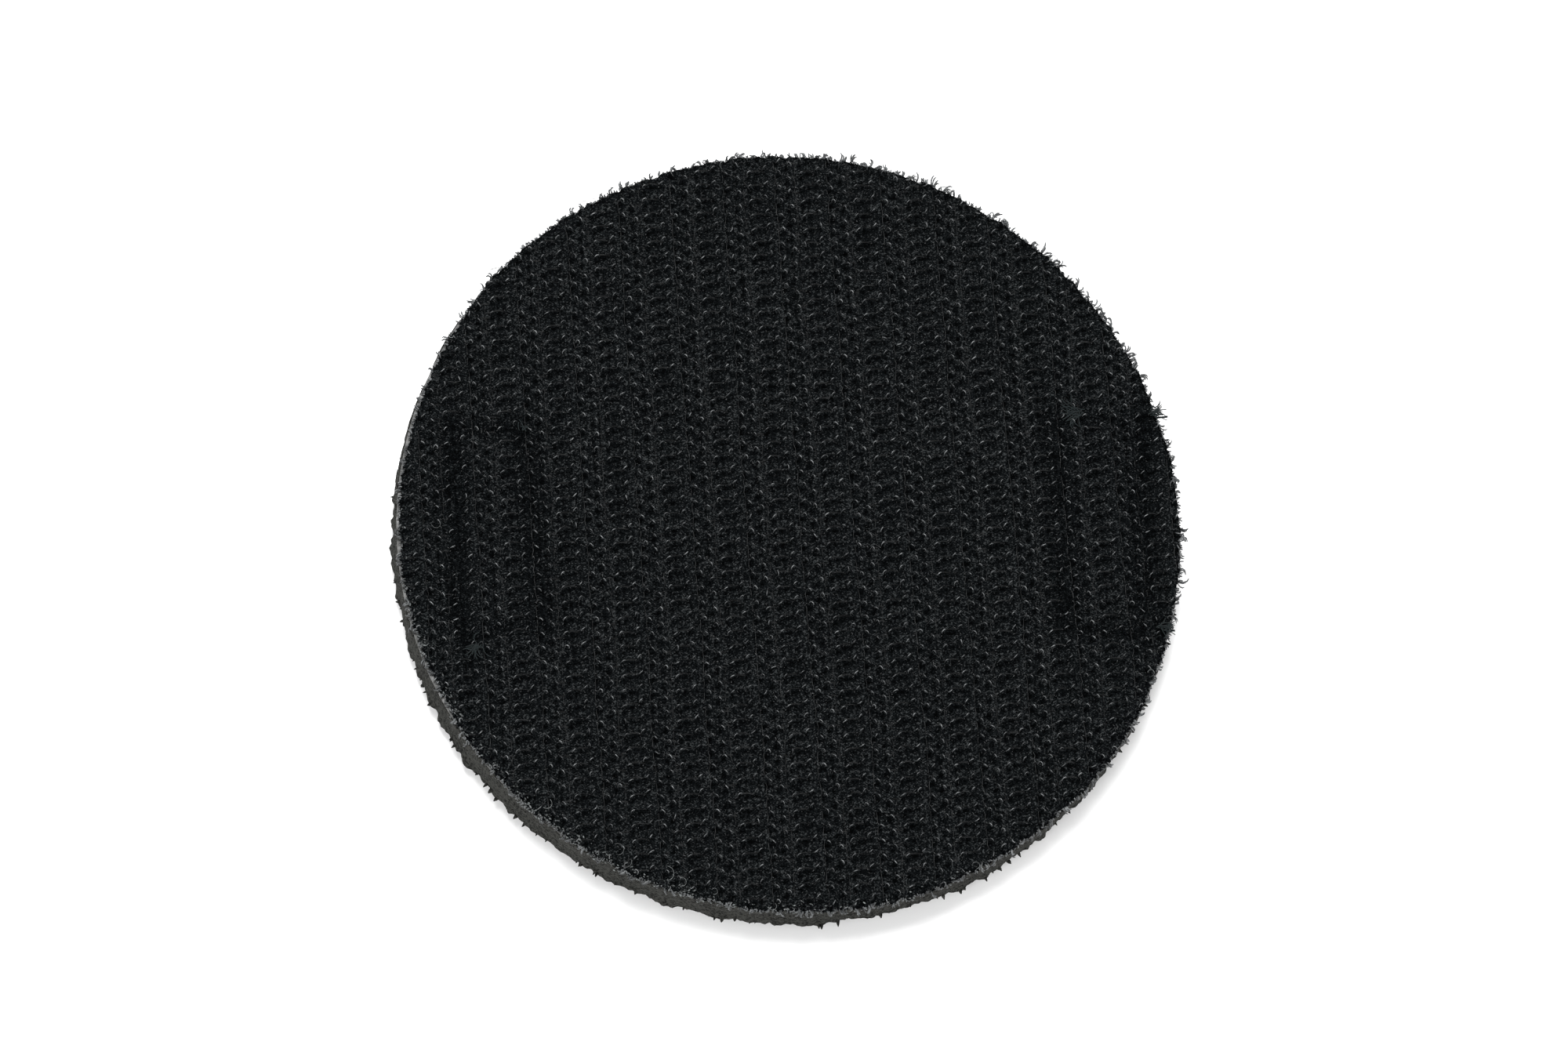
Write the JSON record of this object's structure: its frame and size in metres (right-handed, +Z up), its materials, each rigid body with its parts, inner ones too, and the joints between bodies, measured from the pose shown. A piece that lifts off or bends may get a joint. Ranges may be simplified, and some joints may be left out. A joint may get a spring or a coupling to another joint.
{
  "type": "hand polishing pad",
  "caption": "Round hand polishing pad with a black hook-fastener face, a foam core and a stretch webbing hand strap box-stitched across its back.",
  "frame": {"origin": "the middle of the strap's underside, on the surface the pad lies on, below the disc's centre", "axes": "+Z up through the layers to the hook face, +X along the hand strap, +Y across it"},
  "size_m": [0.125, 0.125, 0.0122],
  "materials": {
    "hook_nylon": "black woven nylon with standing monofilament hooks, satin highlights on the filaments",
    "core_foam": "dark closed-cell foam, matte, rough where it is cut",
    "bond_film": "thin hot-melt adhesive film",
    "cover_tricot": "black brushed tricot lining",
    "strap_webbing": "black ribbed elastic webbing",
    "sewing_thread": "black twisted polyester thread with a slight blue-green sheen"
  },
  "bodies": {
    "strap": {"hand_strap": "strap_webbing"},
    "pad": {"left_strap_end": "strap_webbing", "right_strap_end": "strap_webbing", "back_cover": "cover_tricot", "back_bond_film": "bond_film", "foam_core": "core_foam", "face_bond_film": "bond_film", "hook_cloth": "hook_nylon", "hook_pile": "hook_nylon", "left_needle_thread": "sewing_thread", "left_bobbin_thread": "sewing_thread", "right_needle_thread": "sewing_thread", "right_bobbin_thread": "sewing_thread"}
  },
  "joints": [
    {"name": "strap_stretch", "type": "slide", "parent": "strap", "child": "pad", "axis": [0, 0, 1], "range_m": [0, 0.025], "stiffness_N_per_m": 400}
  ]
}
